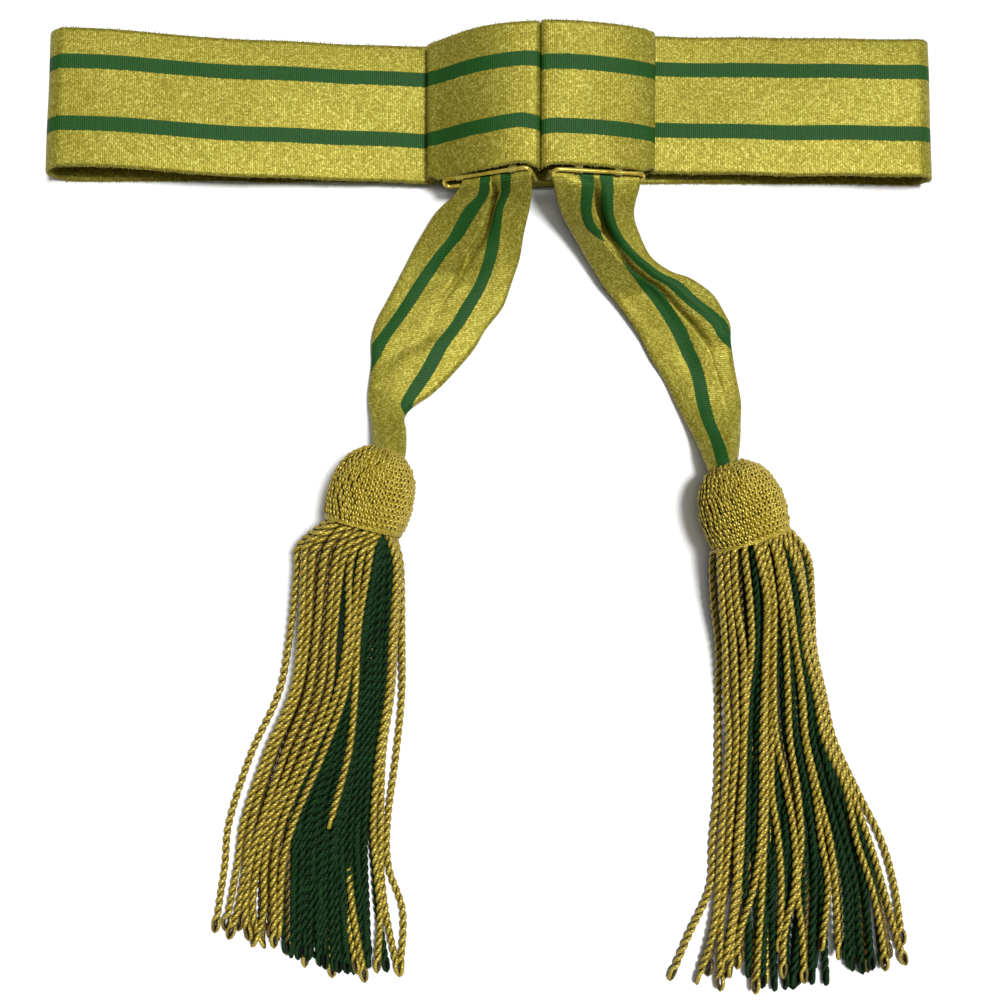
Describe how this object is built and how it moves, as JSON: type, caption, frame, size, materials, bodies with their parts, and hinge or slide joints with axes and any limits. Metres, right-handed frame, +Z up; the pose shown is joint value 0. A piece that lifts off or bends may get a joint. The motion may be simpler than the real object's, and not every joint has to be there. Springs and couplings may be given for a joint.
{
  "type": "waist sash",
  "caption": "Flat waist sash of striped metallic lace with a two-loop bow and two gathered tails ending in cord tassels.",
  "frame": {"origin": "middle of the sash's box, on the surface that it lies on", "axes": "+Z up from the surface, +Y from the tassels to the waist band, +X to the right seen from above"},
  "size_m": [0.4574, 0.496, 0.0446],
  "materials": {
    "lace": "ribbed metallic lace, gold with two dark green stripes",
    "clasp_steel": "plain",
    "brass_wire": "polished",
    "crochet": "crocheted gold thread",
    "cord": "two-ply twisted cord, gold and dark green"
  },
  "bodies": {
    "root": {"waist_band": "lace", "waist_clasp": "clasp_steel", "bow_loop_left": "lace", "bow_loop_right": "lace", "wire_ring_left": "brass_wire", "wire_ring_right": "brass_wire", "tail_left": "lace", "tail_right": "lace", "tassel_head_left": "crochet", "tassel_head_right": "crochet", "tassel_skirt_left": "cord", "tassel_skirt_right": "cord"}
  },
  "joints": []
}
